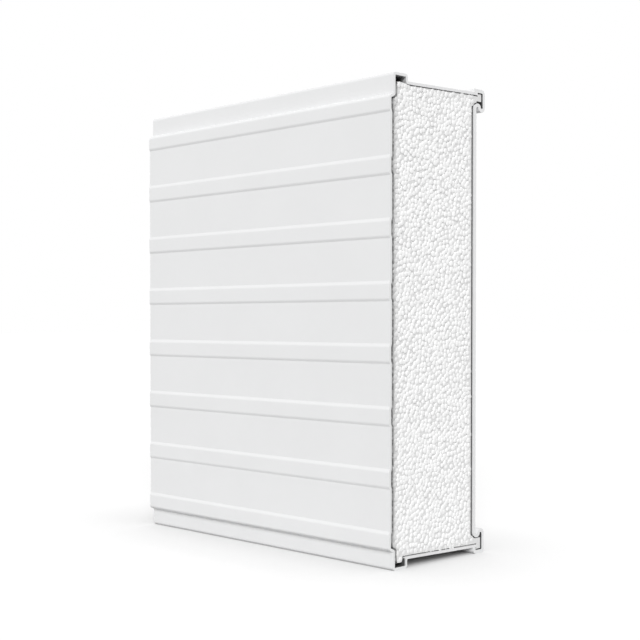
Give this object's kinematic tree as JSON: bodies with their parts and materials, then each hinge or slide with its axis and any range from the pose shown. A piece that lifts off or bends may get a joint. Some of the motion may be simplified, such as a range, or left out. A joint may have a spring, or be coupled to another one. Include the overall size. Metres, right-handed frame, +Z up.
{
  "type": "insulated sandwich panel",
  "caption": "Insulated sandwich panel with a ribbed front sheet, a flat back sheet with hooked lips, and a bead-foam core bonded between them, standing on edge.",
  "frame": {"origin": "middle of the bottom of the bounding box, on the plane of the two lower lips", "axes": "+X along the ribs, +Y from the ribbed front face to the flat back face, +Z up from the lower long edge to the upper"},
  "size_m": [0.73, 0.2784, 0.914],
  "materials": {
    "coated_sheet": "satin white polyester coating",
    "bead_foam": "matte white expanded beads, cut face",
    "edge_strip": "matte white"
  },
  "bodies": {
    "root": {"front_facing": "coated_sheet", "back_facing": "coated_sheet", "foam_core": "bead_foam", "top_edge_strip": "edge_strip", "bottom_edge_strip": "edge_strip"}
  },
  "joints": []
}
